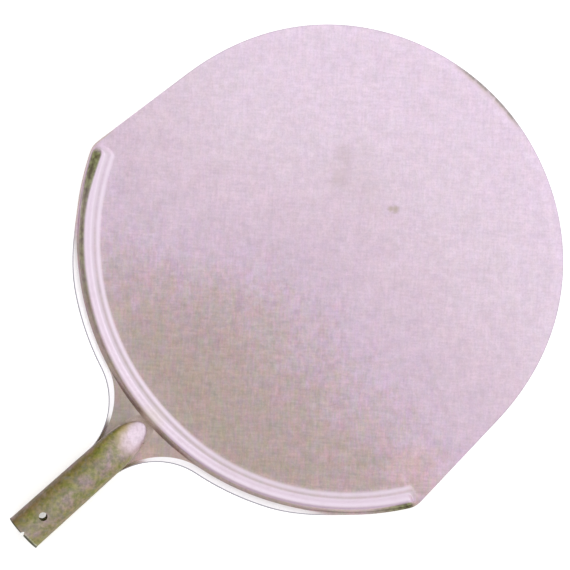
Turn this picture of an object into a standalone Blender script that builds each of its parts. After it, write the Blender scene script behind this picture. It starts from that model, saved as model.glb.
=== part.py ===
"""Head of a round pizza peel: a pressed steel blade and the handle socket welded to it.

Frame: +Z up, +Y from the socket's mouth to the blade's front edge, +X to the right.
The blade's flat underside lies on z = 0 and the length is centred on y = 0.
Lengths are written in millimetres and multiplied by MM, so every value is in metres.
"""
import math

import bmesh
import bpy
from mathutils import Matrix, Vector

MM = 0.001
NAME = "pizza_peel_head"
GAP = 0.3 * MM                      # clearance between neighbouring pieces

# Sheet
SHEET = 1.2 * MM                    # gauge of the blade and of the socket
FRONT_EDGE = 0.5 * MM               # thickness left on the ground front edge
FRONT_BEVEL = 9.0 * MM              # width of the ground band

# Blade outline, with y counted from the socket's mouth
LENGTH = 494.8 * MM                 # mouth to front edge
FRONT_RADIUS = 180.0 * MM
FRONT_FULLNESS = 1.4 * MM           # how far the front arc swells between the tip and the sides
FRONT_SKEW = 1.3                    # moves the swelling towards the sides
SIDE_SPREAD = math.radians(4.8)     # the straight sides open towards the rear
CORNER_RADIUS = 18.0 * MM
REAR_RADIUS = 215.4 * MM            # edge of the lip, about the bead's centre
REAR_NARROWING = 3.9 * MM           # how far the rear edge draws in towards the corners
NARROWING_FROM = math.radians(31.0)
NARROWING_TO = math.radians(50.0)
THROAT_RADIUS = 55.5 * MM
NECK_HALF_WIDTH = 13.7 * MM
TONGUE_HALF_WIDTH = 10.5 * MM
TONGUE_END_Y = 54.8 * MM
TONGUE_CORNER = 5.0 * MM

# Pressed bead along the rear edge
BEAD_CENTRE_Y = 336.9 * MM
BEAD_RADIUS = 205.4 * MM            # the ridge's crest
BEAD_END = math.radians(60.8)       # where the crest ends, from the rearward axis
RIDGE_HEIGHT = 3.9 * MM
RIDGE_INNER = 6.4 * MM              # width of the gentle inner flank
RIDGE_OUTER = 3.9 * MM              # width of the steep outer flank
RIDGE_TAIL = 4.0 * MM               # length of the rounded end
STEP_HEIGHT = 1.2 * MM
STEP_INNER = 13.8 * MM              # from the crest to the foot of the low step
STEP_TAIL = 8.5 * MM
STEP_SLOPE = 0.3                    # share of the step's width that slopes

# Upturned lip outside the bead
LIP_WIDTH = 5.4 * MM
LIP_RISE = 2.4 * MM
LIP_CURVE = 1.2                     # power of the lip's rise across its width
LIP_AT_NECK = 0.25                  # share of the lip left where the throat meets the neck
MARGIN = 1.2 * MM                   # flat rim left where the lip has died away

# Handle socket
MOUTH_RADIUS = 15.0 * MM
SOCKET_RADIUS = 14.3 * MM           # at the front end of the straight cone
CONE_LENGTH = 80.3 * MM
NOSE_LENGTH = 44.2 * MM
NOSE_PLAN_POWER = 2.3               # fullness of the nose seen from above
NOSE_TIP_HEIGHT = 5.0 * MM
NOSE_BEND = 0.35                    # share of the nose over which its top bends down
NOSE_SQUARENESS = 4.0               # power of the nose's lower half section
NOSE_CROWN = 2.8                    # power of the nose's upper half section
SOCKET_BASE_Z = SHEET + GAP

# Cuts in the socket
NOTCH_DEPTH = 3.0 * MM
NOTCH_CUTTER_RADIUS = 12.0 * MM
NAIL_HOLE_RADIUS = 3.3 * MM
NAIL_HOLE_TOP = Vector((0.9, 21.2, 30.0)) * MM
NAIL_HOLE_BOTTOM = Vector((-1.3, 19.6, 2.0)) * MM
NAIL_HOLE_SIDES = 20
CUT_OVERSHOOT = 6.0 * MM

# Welds
WELD_RADIUS = 1.1 * MM
WELD_REAR_Y = 58.8 * MM
WELD_BREAK_Y = 110.8 * MM           # where the side runs stop and the nose run starts
WELD_BREAK = 2.4 * MM
WELD_POINTS = 12
WELD_SEAT = 1.7                     # height on the wall that seats the weld, in weld radii
WELD_STANDOFF = 1.1                 # from the wall to the weld's centre, in weld radii
WELD_PROBE = 0.05 * MM              # half step used to find the wall's direction

# Mesh density
FRONT_STEPS = 17
SIDE_STEPS = 4
REAR_FROM = math.radians(70.0)      # first ray of the rear edge, on the straight side
REAR_STEP = math.radians(3.6)
END_STEP = math.radians(0.32)       # between rays at the bead's rounded end
SIDE_GROWTH = 0.35                  # how fast the rays spread out beyond that end
ARC_GROWTH = 0.6                    # and along the bead
THROAT_CLEARANCE = 0.4              # share of a step kept free before the throat
RING_PITCH = 0.4 * MM               # closest that rings inside the lip may crowd
THROAT_STEPS = 8
TONGUE_STEPS = 3
SECTION_POINTS = 32
NOSE_RINGS = 9
NOSE_LAST = math.radians(80.0)      # quarter turn's end, just short of the nose's tip
BEAD_STATIONS = (3.9, 3.0, 2.0, 1.0, 0.0, -1.3, -2.8, -4.6, -6.4, -9.6, -11.7, -13.8)

BEAD_CENTRE = Vector((0.0, BEAD_CENTRE_Y, 0.0))
FRONT_CENTRE = Vector((0.0, LENGTH - FRONT_RADIUS, 0.0))
SHARP_ANGLE = math.radians(40.0)
TO_ORIGIN = Matrix.Translation((0.0, -LENGTH / 2, 0.0))


def smooth(t):
    """Ease from 0 to 1."""
    t = min(max(t, 0.0), 1.0)
    return t * t * (3.0 - 2.0 * t)


def polar(centre, radius, angle):
    """Point at an angle counted from +X about a centre."""
    return centre + Vector((math.cos(angle), math.sin(angle), 0.0)) * radius


def rear_point(radius, angle):
    """Point about the bead's centre, at an angle counted from the rearward axis."""
    return polar(BEAD_CENTRE, radius, angle - math.pi / 2)


def rear_angle(point):
    """Angle of a point about the bead's centre, counted from the rearward axis."""
    arm = point - BEAD_CENTRE
    return math.atan2(arm.x, -arm.y)


# ---------------------------------------------------------------- blade outline

def rear_edge_radius(angle):
    """The rear edge draws in a little between the throat and the corners."""
    span = NARROWING_TO - NARROWING_FROM
    return REAR_RADIUS - REAR_NARROWING * smooth((angle - NARROWING_FROM) / span)


def lip_share_on_arc(angle):
    """The lip dies away together with the narrowing of the rear edge."""
    span = NARROWING_TO - NARROWING_FROM
    return 1.0 - smooth((angle - NARROWING_FROM) / span)


def corner_centre():
    """Centre of the arc tangent to the straight side and to the rear edge."""
    along = Vector((math.sin(SIDE_SPREAD), -math.cos(SIDE_SPREAD), 0.0))
    inward = Vector((-math.cos(SIDE_SPREAD), -math.sin(SIDE_SPREAD), 0.0))
    start = polar(FRONT_CENTRE, FRONT_RADIUS, SIDE_SPREAD) + inward * CORNER_RADIUS - BEAD_CENTRE
    reach = REAR_RADIUS - REAR_NARROWING - CORNER_RADIUS
    half = start.dot(along)
    run = -half + math.sqrt(half * half - start.length_squared + reach * reach)
    return start + along * run + BEAD_CENTRE


def throat_centre():
    """Centre of the arc tangent to the neck's side and to the rear edge."""
    x = NECK_HALF_WIDTH + THROAT_RADIUS
    reach = REAR_RADIUS + THROAT_RADIUS
    return Vector((x, BEAD_CENTRE_Y - math.sqrt(reach * reach - x * x), 0.0))


def front_stations():
    """Front arc from the tip to the side: point, inward direction, lip share, bevel share."""
    stations = []
    for step in range(FRONT_STEPS + 1):
        share = step / FRONT_STEPS
        swell = math.sin(math.pi * share ** FRONT_SKEW) ** 2
        angle = math.pi / 2 + (SIDE_SPREAD - math.pi / 2) * share
        point = polar(FRONT_CENTRE, FRONT_RADIUS + FRONT_FULLNESS * swell, angle)
        stations.append((point, (FRONT_CENTRE - point).normalized(), 0.0, 1.0))
    return stations


def side_stations():
    """Straight side behind the front arc, where the ground bevel fades out."""
    start = polar(FRONT_CENTRE, FRONT_RADIUS, SIDE_SPREAD)
    end = side_point(REAR_FROM)
    inward = Vector((-math.cos(SIDE_SPREAD), -math.sin(SIDE_SPREAD), 0.0))
    stations = []
    for step in range(1, SIDE_STEPS + 1):
        share = step / SIDE_STEPS
        stations.append((start.lerp(end, share), inward, 0.0, 1.0 - smooth(share)))
    return stations


def side_point(angle):
    """Point of the straight side on a ray from the bead's centre."""
    start = polar(FRONT_CENTRE, FRONT_RADIUS, SIDE_SPREAD)
    outward = Vector((math.cos(SIDE_SPREAD), math.sin(SIDE_SPREAD), 0.0))
    ray = rear_point(1.0, angle) - BEAD_CENTRE
    return BEAD_CENTRE + ray * ((start - BEAD_CENTRE).dot(outward) / ray.dot(outward))


def corner_point(angle):
    """Point of the rounded corner on a ray from the bead's centre."""
    arm = corner_centre() - BEAD_CENTRE
    ray = rear_point(1.0, angle) - BEAD_CENTRE
    middle = arm.dot(ray)
    chord = math.sqrt(middle ** 2 - arm.length_squared + CORNER_RADIUS ** 2)
    return BEAD_CENTRE + ray * (middle + chord)


def rear_angles():
    """Rays across the rear edge, closest together at the bead's rounded end."""
    throat = rear_angle(throat_centre())
    fine_from = BEAD_END + STEP_TAIL / BEAD_RADIUS
    angles = []
    angle = REAR_FROM
    while angle > throat + THROAT_CLEARANCE * REAR_STEP:
        angles.append(angle)
        if angle > fine_from:
            angle -= max(END_STEP, SIDE_GROWTH * (angle - fine_from))
        elif angle > BEAD_END:
            angle -= END_STEP
        else:
            angle -= min(REAR_STEP, END_STEP + ARC_GROWTH * (BEAD_END - angle))
    return angles


def rear_stations():
    """Rear edge from the side, round the corner and along the bead to the throat."""
    centre = corner_centre()
    corner_to = rear_angle(centre)
    corner_from = rear_angle(polar(centre, CORNER_RADIUS, SIDE_SPREAD))
    stations = []
    for angle in rear_angles():
        if angle > corner_from:
            point = side_point(angle)
            inward = Vector((-math.cos(SIDE_SPREAD), -math.sin(SIDE_SPREAD), 0.0))
        elif angle > corner_to:
            point = corner_point(angle)
            inward = (centre - point).normalized()
        else:
            point = rear_point(rear_edge_radius(angle), angle)
            inward = (BEAD_CENTRE - point).normalized()
        stations.append((point, inward, lip_share_on_arc(angle), 0.0))
    return stations


def throat_stations():
    """Concave arc from the rear edge to the neck, where the lip narrows."""
    centre = throat_centre()
    first = (BEAD_CENTRE - centre).normalized()
    first_angle = math.atan2(first.y, first.x)
    stations = []
    for step in range(THROAT_STEPS + 1):
        share = step / THROAT_STEPS
        angle = first_angle + (math.pi - first_angle) * share
        point = polar(centre, THROAT_RADIUS, angle)
        lip = 1.0 - (1.0 - LIP_AT_NECK) * smooth(share)
        stations.append((point, (point - centre).normalized(), lip, 0.0))
    return stations


def tongue_stations():
    """Tongue that runs on under the socket."""
    centre = Vector((TONGUE_HALF_WIDTH - TONGUE_CORNER, TONGUE_END_Y + TONGUE_CORNER, 0.0))
    stations = []
    for step in range(TONGUE_STEPS + 1):
        angle = -math.pi / 2 * step / TONGUE_STEPS
        point = polar(centre, TONGUE_CORNER, angle)
        stations.append((point, (centre - point).normalized(), 0.0, 0.0))
    stations.append((Vector((0.0, TONGUE_END_Y, 0.0)), Vector((0.0, 1.0, 0.0)), 0.0, 0.0))
    return stations


# ---------------------------------------------------------------- blade surface

def bead_height(point):
    """Height of the pressed bead: a rounded ridge on a low step, both with round ends."""
    arm = point - BEAD_CENTRE
    offset = arm.length - BEAD_RADIUS
    past_end = max(0.0, abs(rear_angle(point)) - BEAD_END) * BEAD_RADIUS
    ridge_reach = RIDGE_INNER if offset < 0.0 else RIDGE_OUTER
    step_reach = STEP_INNER if offset < 0.0 else RIDGE_OUTER
    ridge_share = min(1.0, math.hypot(offset / ridge_reach, past_end / RIDGE_TAIL))
    step_share = min(1.0, math.hypot(offset / step_reach, past_end / STEP_TAIL))
    ridge = RIDGE_HEIGHT * 0.5 * (1.0 + math.cos(math.pi * ridge_share))
    return ridge + STEP_HEIGHT * smooth((1.0 - step_share) / STEP_SLOPE)


def edge_rings(stations):
    """Three rings at the edge: the edge, half way in, and the foot of the lip or bevel."""
    rings = [[], [], []]
    for point, inward, lip, bevel in stations:
        width = max(LIP_WIDTH * lip, MARGIN, FRONT_BEVEL * bevel)
        for ring, share in zip(rings, (0.0, 0.5, 1.0)):
            spot = point + inward * (width * share)
            spot.x = max(spot.x, 0.0)
            if point.x == 0.0:
                spot.x = 0.0
            spot.z = LIP_RISE * lip * (1.0 - share) ** LIP_CURVE
            ring.append(spot)
    return rings


def bead_rings(foot_ring):
    """Rings across the bead, each held inside the foot of the lip where the blade ends."""
    rings = []
    for count, station in enumerate(BEAD_STATIONS, start=1):
        ring = []
        for foot in foot_ring:
            limit = (foot - BEAD_CENTRE).xy.length - RING_PITCH * count
            radius = min(BEAD_RADIUS + station * MM, limit)
            spot = rear_point(radius, rear_angle(foot))
            if foot.x == 0.0:
                spot.x = 0.0
            spot.z = bead_height(spot)
            ring.append(spot)
        rings.append(ring)
    return rings


def add_strip(bm, outer, inner):
    """Quads between two rings of vertices, facing up."""
    for step in range(len(outer) - 1):
        bm.faces.new((outer[step], outer[step + 1], inner[step + 1], inner[step]))


def blade_mesh():
    """Right half of the blade's underside, open on the plane x = 0."""
    front = front_stations()
    side = side_stations()
    stations = front + side[:-1] + rear_stations() + throat_stations() + tongue_stations()
    first_bead = len(front) + len(side) - 1
    rims = edge_rings(stations)
    beads = bead_rings(rims[2][first_bead:])
    mesh = bpy.data.meshes.new("blade")
    bm = bmesh.new()
    rim_verts = [[bm.verts.new(spot) for spot in ring] for ring in rims]
    bead_verts = [[bm.verts.new(spot) for spot in ring] for ring in beads]
    add_strip(bm, rim_verts[0], rim_verts[1])
    add_strip(bm, rim_verts[1], rim_verts[2])
    rows = [rim_verts[2][first_bead:]] + bead_verts
    for outer, inner in zip(rows, rows[1:]):
        add_strip(bm, outer, inner)
    disc = rim_verts[2][:first_bead] + [row[0] for row in rows] + rows[-1][1:]
    flat = bm.faces.new(disc)
    bm.normal_update()
    if flat.normal.z < 0.0:
        bmesh.ops.reverse_faces(bm, faces=bm.faces)
    bm.to_mesh(mesh)
    bm.free()
    bevels = [station[3] for station in stations]
    return mesh, bevels


def make_blade(parts):
    """Pressed sheet: half surface, mirrored, then given its gauge."""
    mesh, bevels = blade_mesh()
    blade = add_object("blade", mesh, parts, blade_steel())
    gauge = blade.vertex_groups.new(name="gauge")
    thin = FRONT_EDGE / SHEET
    columns = len(bevels)
    for index in range(len(mesh.vertices)):
        ring, column = divmod(index, columns)
        share = bevels[column] * (1.0, 0.5, 0.0)[ring] if ring < 3 else 0.0
        gauge.add([index], 1.0 - (1.0 - thin) * share, "REPLACE")
    mirror = blade.modifiers.new("both_sides", "MIRROR")
    mirror.use_axis = (True, False, False)
    mirror.use_clip = True
    mirror.merge_threshold = 0.00001
    solid = blade.modifiers.new("sheet", "SOLIDIFY")
    solid.thickness = SHEET
    solid.offset = 1.0
    solid.use_even_offset = True
    solid.vertex_group = "gauge"
    return blade


# ---------------------------------------------------------------- socket

def nose_drop(share):
    """Share of the nose's height lost along it: a bend, then an even slope to the tip."""
    full = math.hypot(NOSE_BEND, 1.0) - NOSE_BEND
    return (math.hypot(NOSE_BEND, share) - NOSE_BEND) / full


def socket_section(y):
    """Half width, height, lower and upper squareness of the socket's outside at y."""
    if y <= CONE_LENGTH:
        radius = MOUTH_RADIUS + (SOCKET_RADIUS - MOUTH_RADIUS) * y / CONE_LENGTH
        return radius, 2.0 * radius, 2.0, 2.0
    share = min(1.0, (y - CONE_LENGTH) / NOSE_LENGTH)
    half_width = SOCKET_RADIUS * (1.0 - share ** NOSE_PLAN_POWER) ** (1.0 / NOSE_PLAN_POWER)
    height = 2.0 * SOCKET_RADIUS - (2.0 * SOCKET_RADIUS - NOSE_TIP_HEIGHT) * nose_drop(share)
    change = smooth(2.0 * share)
    lower = 2.0 + (NOSE_SQUARENESS - 2.0) * change
    upper = 2.0 + (NOSE_CROWN - 2.0) * change
    return half_width, height, lower, upper


def socket_ring(y):
    """Points round the outside: a flattened arch over a squarer lower half."""
    half_width, height, lower, upper = socket_section(y)
    points = []
    for step in range(SECTION_POINTS):
        angle = 2.0 * math.pi * step / SECTION_POINTS
        power = 2.0 / (lower if math.sin(angle) < 0.0 else upper)
        across = math.copysign(abs(math.cos(angle)) ** power, math.cos(angle))
        up = math.copysign(abs(math.sin(angle)) ** power, math.sin(angle))
        points.append(Vector((half_width * across, y, SOCKET_BASE_Z + height / 2 * (1.0 + up))))
    return points


def socket_half_width_at(y, z):
    """Half width of the socket's lower half at a height z."""
    half_width, height, lower, upper = socket_section(y)
    if half_width == 0.0:
        return 0.0
    drop = (SOCKET_BASE_Z + height / 2 - z) / (height / 2)
    drop = min(max(drop, 0.0), 1.0)
    return half_width * (1.0 - drop ** lower) ** (1.0 / lower)


def nose_places():
    """Places along the nose, closer together towards its tip."""
    shares = [math.sin(NOSE_LAST * step / NOSE_RINGS) for step in range(1, NOSE_RINGS + 1)]
    return [CONE_LENGTH + NOSE_LENGTH * share for share in shares]


def socket_mesh():
    """Outside of the socket: a cone drawn down to a closed nose, open at the mouth."""
    mesh = bpy.data.meshes.new("socket")
    bm = bmesh.new()
    places = [0.0, CONE_LENGTH] + nose_places()
    rings = [[bm.verts.new(spot) for spot in socket_ring(y)] for y in places]
    for ring, following in zip(rings, rings[1:]):
        for step in range(SECTION_POINTS):
            after = (step + 1) % SECTION_POINTS
            bm.faces.new((ring[step], following[step], following[after], ring[after]))
    centre = sum((vert.co for vert in rings[-1]), Vector()) / SECTION_POINTS
    tip = bm.verts.new((0.0, CONE_LENGTH + NOSE_LENGTH, centre.z))
    for step in range(SECTION_POINTS):
        after = (step + 1) % SECTION_POINTS
        cap = bm.faces.new((rings[-1][step], tip, rings[-1][after]))
    bm.normal_update()
    if cap.normal.y < 0.0:
        bmesh.ops.reverse_faces(bm, faces=bm.faces)
    bm.to_mesh(mesh)
    bm.free()
    return mesh


def make_notch_cutter(cutters):
    """Three-sided prism that opens the top of the mouth in a V."""
    mesh = bpy.data.meshes.new("mouth_notch_cutter")
    bm = bmesh.new()
    radius = NOTCH_CUTTER_RADIUS
    made = bmesh.ops.create_cone(
        bm, cap_ends=True, segments=3, radius1=radius, radius2=radius, depth=MOUTH_RADIUS)
    corner = made["verts"][0].co
    turn = math.pi / 2 - math.atan2(corner.y, corner.x)
    bmesh.ops.rotate(bm, verts=bm.verts, matrix=Matrix.Rotation(turn, 3, "Z"))
    lift = SOCKET_BASE_Z + 2.0 * MOUTH_RADIUS
    bmesh.ops.translate(bm, verts=bm.verts, vec=(0.0, NOTCH_DEPTH - radius, lift))
    bm.to_mesh(mesh)
    bm.free()
    return add_cutter("mouth_notch_cutter", mesh, cutters)


def make_nail_hole_cutter(cutters):
    """Round cutter through both walls, along the slightly slanted drilling line."""
    drill = NAIL_HOLE_TOP - NAIL_HOLE_BOTTOM
    mesh = bpy.data.meshes.new("nail_hole_cutter")
    bm = bmesh.new()
    radius = NAIL_HOLE_RADIUS
    depth = drill.length + 2.0 * CUT_OVERSHOOT
    bmesh.ops.create_cone(
        bm, cap_ends=True, segments=NAIL_HOLE_SIDES, radius1=radius, radius2=radius, depth=depth)
    turn = drill.to_track_quat("Z", "Y").to_matrix()
    bmesh.ops.rotate(bm, verts=bm.verts, matrix=turn)
    bmesh.ops.translate(bm, verts=bm.verts, vec=(NAIL_HOLE_TOP + NAIL_HOLE_BOTTOM) / 2)
    bm.to_mesh(mesh)
    bm.free()
    return add_cutter("nail_hole_cutter", mesh, cutters)


def make_socket(parts, cutters):
    """Rolled socket with a closed nose, a notched mouth and a nail hole."""
    socket = add_object("socket", socket_mesh(), parts, socket_steel())
    wall = socket.modifiers.new("wall", "SOLIDIFY")
    wall.thickness = SHEET
    wall.offset = -1.0
    wall.use_even_offset = True
    for cutter in (make_notch_cutter(cutters), make_nail_hole_cutter(cutters)):
        cut = socket.modifiers.new(cutter.name, "BOOLEAN")
        cut.operation = "DIFFERENCE"
        cut.solver = "EXACT"
        cut.object = cutter
    return socket


# ---------------------------------------------------------------- welds

def weld_wall(y):
    """Point of the socket's wall beside the weld, on the right."""
    y = min(y, CONE_LENGTH + NOSE_LENGTH)
    height = SHEET + GAP + WELD_SEAT * WELD_RADIUS
    return Vector((socket_half_width_at(y, height), y, SHEET + GAP + WELD_RADIUS))


def weld_spot(y):
    """Centre of the weld in the corner between the socket's foot and the blade."""
    along = weld_wall(y + WELD_PROBE) - weld_wall(y - WELD_PROBE)
    outward = Vector((along.y, -along.x, 0.0)).normalized()
    return weld_wall(y) + outward * (GAP + WELD_STANDOFF * WELD_RADIUS)


def nose_weld_points():
    """Run round the nose, from the right break to the left one."""
    start_y = WELD_BREAK_Y + WELD_BREAK
    reach = CONE_LENGTH + NOSE_LENGTH - start_y
    right = []
    for step in range(WELD_POINTS):
        turn = math.pi / 2 * step / WELD_POINTS
        right.append(weld_spot(start_y + reach * math.sin(turn)))
    tip = weld_wall(LENGTH) + Vector((0.0, GAP + WELD_STANDOFF * WELD_RADIUS, 0.0))
    left = [Vector((-spot.x, spot.y, spot.z)) for spot in reversed(right)]
    return right + [tip] + left


def side_weld_points(side):
    """Run along one side of the neck, forward to the nose."""
    points = []
    for step in range(WELD_POINTS):
        spot = weld_spot(WELD_REAR_Y + (WELD_BREAK_Y - WELD_REAR_Y) * step / (WELD_POINTS - 1))
        points.append(Vector((side * spot.x, spot.y, spot.z)))
    return points


def make_weld(name, points, parts):
    """Round bead of weld metal along a route."""
    curve = bpy.data.curves.new(name, "CURVE")
    curve.dimensions = "3D"
    curve.bevel_depth = WELD_RADIUS
    curve.bevel_resolution = 2
    curve.use_fill_caps = True
    spline = curve.splines.new("POLY")
    spline.points.add(len(points) - 1)
    for spot, point in zip(spline.points, points):
        spot.co = (*point, 1.0)
    return add_object(name, curve, parts, weld_steel())


# ---------------------------------------------------------------- scene

def steel(name, colour, roughness):
    material = bpy.data.materials.new(name)
    material.use_nodes = True
    shader = material.node_tree.nodes["Principled BSDF"]
    shader.inputs["Base Color"].default_value = (*colour, 1.0)
    shader.inputs["Metallic"].default_value = 1.0
    shader.inputs["Roughness"].default_value = roughness
    return material


def blade_steel():
    return steel("blade_steel", (0.66, 0.56, 0.63), 0.42)


def socket_steel():
    return steel("socket_steel", (0.33, 0.29, 0.22), 0.5)


def weld_steel():
    return steel("weld_steel", (0.42, 0.37, 0.33), 0.6)


def shade(obj):
    """Keep the evaluated shape and shade it smooth between its sharp edges."""
    depsgraph = bpy.context.evaluated_depsgraph_get()
    mesh = bpy.data.meshes.new_from_object(obj.evaluated_get(depsgraph))
    obj.modifiers.clear()
    obj.data = mesh
    mesh.shade_smooth()
    mesh.set_sharp_from_angle(angle=SHARP_ANGLE)


def add_object(name, data, collection, material):
    """Object in a collection, moved from the mouth's frame to the part's origin."""
    obj = bpy.data.objects.new(name, data)
    obj.matrix_world = TO_ORIGIN
    collection.objects.link(obj)
    data.materials.append(material)
    return obj


def add_cutter(name, mesh, collection):
    cutter = bpy.data.objects.new(name, mesh)
    cutter.matrix_world = TO_ORIGIN
    cutter.hide_render = True
    cutter.display_type = "WIRE"
    collection.objects.link(cutter)
    return cutter


def clear_scene():
    for obj in list(bpy.data.objects):
        bpy.data.objects.remove(obj, do_unlink=True)


def add_collection(name):
    collection = bpy.data.collections.new(name)
    bpy.context.scene.collection.children.link(collection)
    return collection


def main():
    clear_scene()
    parts = add_collection(NAME)
    cutters = add_collection("cutters")
    shade(make_blade(parts))
    shade(make_socket(parts, cutters))
    make_weld("weld_nose", nose_weld_points(), parts)
    make_weld("weld_left", side_weld_points(-1.0), parts)
    make_weld("weld_right", side_weld_points(1.0), parts)


main()
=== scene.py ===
"""Looks of the head of a round pizza peel: a pressed steel blade and its welded handle socket.

The fine meshes repeat the part's own formulas at a higher density, in the frame's metres.
Along the peel, y is counted from the socket's mouth until a mesh is moved to the frame.
Every material is procedural, and shows rubbing, dirt, heat, painted light and painted shade where
attributes of the meshes say so.
"""
import math

import bmesh
import bpy
from mathutils import Matrix, Vector, kdtree, noise


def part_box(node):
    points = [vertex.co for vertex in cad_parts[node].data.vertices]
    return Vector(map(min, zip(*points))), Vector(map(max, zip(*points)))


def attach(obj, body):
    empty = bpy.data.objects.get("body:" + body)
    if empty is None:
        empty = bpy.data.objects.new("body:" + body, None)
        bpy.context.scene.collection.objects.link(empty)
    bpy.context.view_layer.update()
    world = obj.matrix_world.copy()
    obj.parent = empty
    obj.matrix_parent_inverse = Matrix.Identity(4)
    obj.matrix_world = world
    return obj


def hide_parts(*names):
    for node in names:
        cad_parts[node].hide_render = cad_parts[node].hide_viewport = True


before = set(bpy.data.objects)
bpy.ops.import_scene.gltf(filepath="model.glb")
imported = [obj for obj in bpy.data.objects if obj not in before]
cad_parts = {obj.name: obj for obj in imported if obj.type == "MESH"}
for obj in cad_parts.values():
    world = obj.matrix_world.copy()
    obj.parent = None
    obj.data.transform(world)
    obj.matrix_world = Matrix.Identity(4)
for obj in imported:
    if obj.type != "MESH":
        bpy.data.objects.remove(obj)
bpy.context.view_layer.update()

MM = 0.001
DEG = math.radians(1.0)

# Driving dimensions, from the frame where it has them
MOUTH_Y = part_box("socket")[0].y
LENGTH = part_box("blade")[1].y - MOUTH_Y
SHEET = 1.2 * MM
GAP = 0.3 * MM
FRONT_EDGE = 0.5 * MM
FRONT_BEVEL = 9.0 * MM
EDGE_ROUND = 0.16 * MM  # rounding of the sheet's cut edges
EDGE_SEGMENTS = 2
EDGE_ANGLE = 55.0 * DEG  # edges sharper than this are rounded
MERGE_DISTANCE = 0.01 * MM

# Blade outline
FRONT_RADIUS = 180.0 * MM
FRONT_FULLNESS = 1.4 * MM
FRONT_SKEW = 1.3
SIDE_SPREAD = 4.8 * DEG
CORNER_RADIUS = 18.0 * MM
REAR_RADIUS = 215.4 * MM
REAR_NARROWING = 3.9 * MM
NARROWING_FROM = 31.0 * DEG
NARROWING_TO = 50.0 * DEG
THROAT_RADIUS = 55.5 * MM
NECK_HALF_WIDTH = 13.7 * MM
TONGUE_HALF_WIDTH = 10.5 * MM
TONGUE_END_Y = 54.8 * MM
TONGUE_CORNER = 5.0 * MM

# Pressed bead
BEAD_CENTRE = Vector((0.0, 336.9 * MM, 0.0))
BEAD_RADIUS = 205.4 * MM
BEAD_END = 60.8 * DEG
RIDGE_HEIGHT = 3.9 * MM
RIDGE_INNER = 6.4 * MM
RIDGE_OUTER = 3.9 * MM
RIDGE_TAIL = 4.0 * MM
STEP_HEIGHT = 1.2 * MM
STEP_INNER = 13.8 * MM
STEP_TAIL = 8.5 * MM
STEP_SLOPE = 0.3

# Upturned lip
LIP_WIDTH = 5.4 * MM
LIP_RISE = 2.4 * MM
LIP_CURVE = 1.2
LIP_AT_NECK = 0.25
MARGIN = 1.2 * MM
LIP_SHINE = 1.6  # how soon a growing lip takes its painted highlight
LIP_SHINE_FADE = 0.1  # share of the lip over which its painted highlight ends

# Handle socket
MOUTH_RADIUS = 15.0 * MM
SOCKET_RADIUS = 14.3 * MM
CONE_LENGTH = 80.3 * MM
NOSE_LENGTH = 44.2 * MM
NOSE_END = CONE_LENGTH + NOSE_LENGTH
NOSE_PLAN_POWER = 2.3
NOSE_TIP_HEIGHT = 5.0 * MM
NOSE_BEND = 0.35
NOSE_SQUARENESS = 4.0
NOSE_CROWN = 2.8
SOCKET_BASE_Z = SHEET + GAP
NOTCH_DEPTH = 3.0 * MM
NOTCH_CUTTER = 4.0 * NOTCH_DEPTH
NAIL_HOLE_RADIUS = 3.3 * MM
NAIL_HOLE_SIDES = 64
NAIL_HOLE_TOP = Vector((0.9, 21.2, 30.0)) * MM
NAIL_HOLE_BOTTOM = Vector((-1.3, 19.6, 2.0)) * MM
CUT_OVERSHOOT = 6.0 * MM
SEAM_X = 1.9 * MM  # the rolled sheet's closed seam, right of the top
SEAM_DEPTH = 0.07 * MM
SEAM_WIDTH = 0.45 * MM
SEAM_END = 92.8 * MM
SEAM_FADE = 12.0 * MM
SEAM_WANDER = 0.25 * SEAM_WIDTH
SEAM_WANDER_PITCH = 60.0  # per metre, like the other noise pitches
SEAM_STEPS = 5  # fine steps to each side of the seam
MOUTH_ROUND = 0.45 * MM  # rounding of the mouth's rim
MOUTH_FLARE = 0.22 * MM  # how far the mouth is turned out
MOUTH_FLARE_LENGTH = 2.6 * MM
DENT_DEPTH = 0.16 * MM
DENT_ON_CONE = 0.35  # dents on the cone, as a share of those on the nose
DENT_FROM = 0.8 * CONE_LENGTH
DENT_SLOW_PITCH = 55.0
DENT_QUICK_PITCH = 150.0
DENT_QUICK_SHARE = 0.35
DENT_QUICK_PLACE = Vector((3.1, 0.0, 0.0))
DENT_CLEARANCE = 3.0 * MM  # height over which dents and flat base meet

# Welds
WELD_RADIUS = 1.1 * MM
WELD_STANDOFF = GAP + 1.1 * WELD_RADIUS
WELD_WALL_Z = SHEET + GAP + 1.7 * WELD_RADIUS
WELD_PROBE = 0.05 * MM
WELD_LEG = 2.6 * MM  # up the socket and out on the blade
WELD_LAP = 0.8 * MM  # overlap into the socket's wall
WELD_SINK = 0.15 * MM  # overlap into the blade
WELD_ARC_STEPS = 10
WELD_HOLLOW = 1.5  # 1 is a flat fillet
NOSE_WELD_REACH = 5.2 * MM  # metal drawn out in front of the nose
NOSE_WELD_CLIMB = 3.9 * MM
NOSE_WELD_LENGTH = 9.0 * MM  # how far behind the tip it starts to widen
WELD_REAR_Y = 58.8 * MM
WELD_BREAK_Y = 110.8 * MM
WELD_BREAK = 2.4 * MM
WELD_RIPPLE = 1.7 * MM
WELD_RIPPLE_DEPTH = 0.045
WELD_RIPPLE_DRIFT = 1.5 * MM
WELD_DRIFT_PITCH = 220.0
WELD_UNEVENNESS = 0.16
WELD_UNEVEN_PITCH = 160.0
WELD_END = 0.04  # square of the smallest size at the ends
WELD_SEED_STEP = 7.3
WELD_STEP = 0.25 * MM
HEAT_REACH = 5.0 * MM

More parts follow.
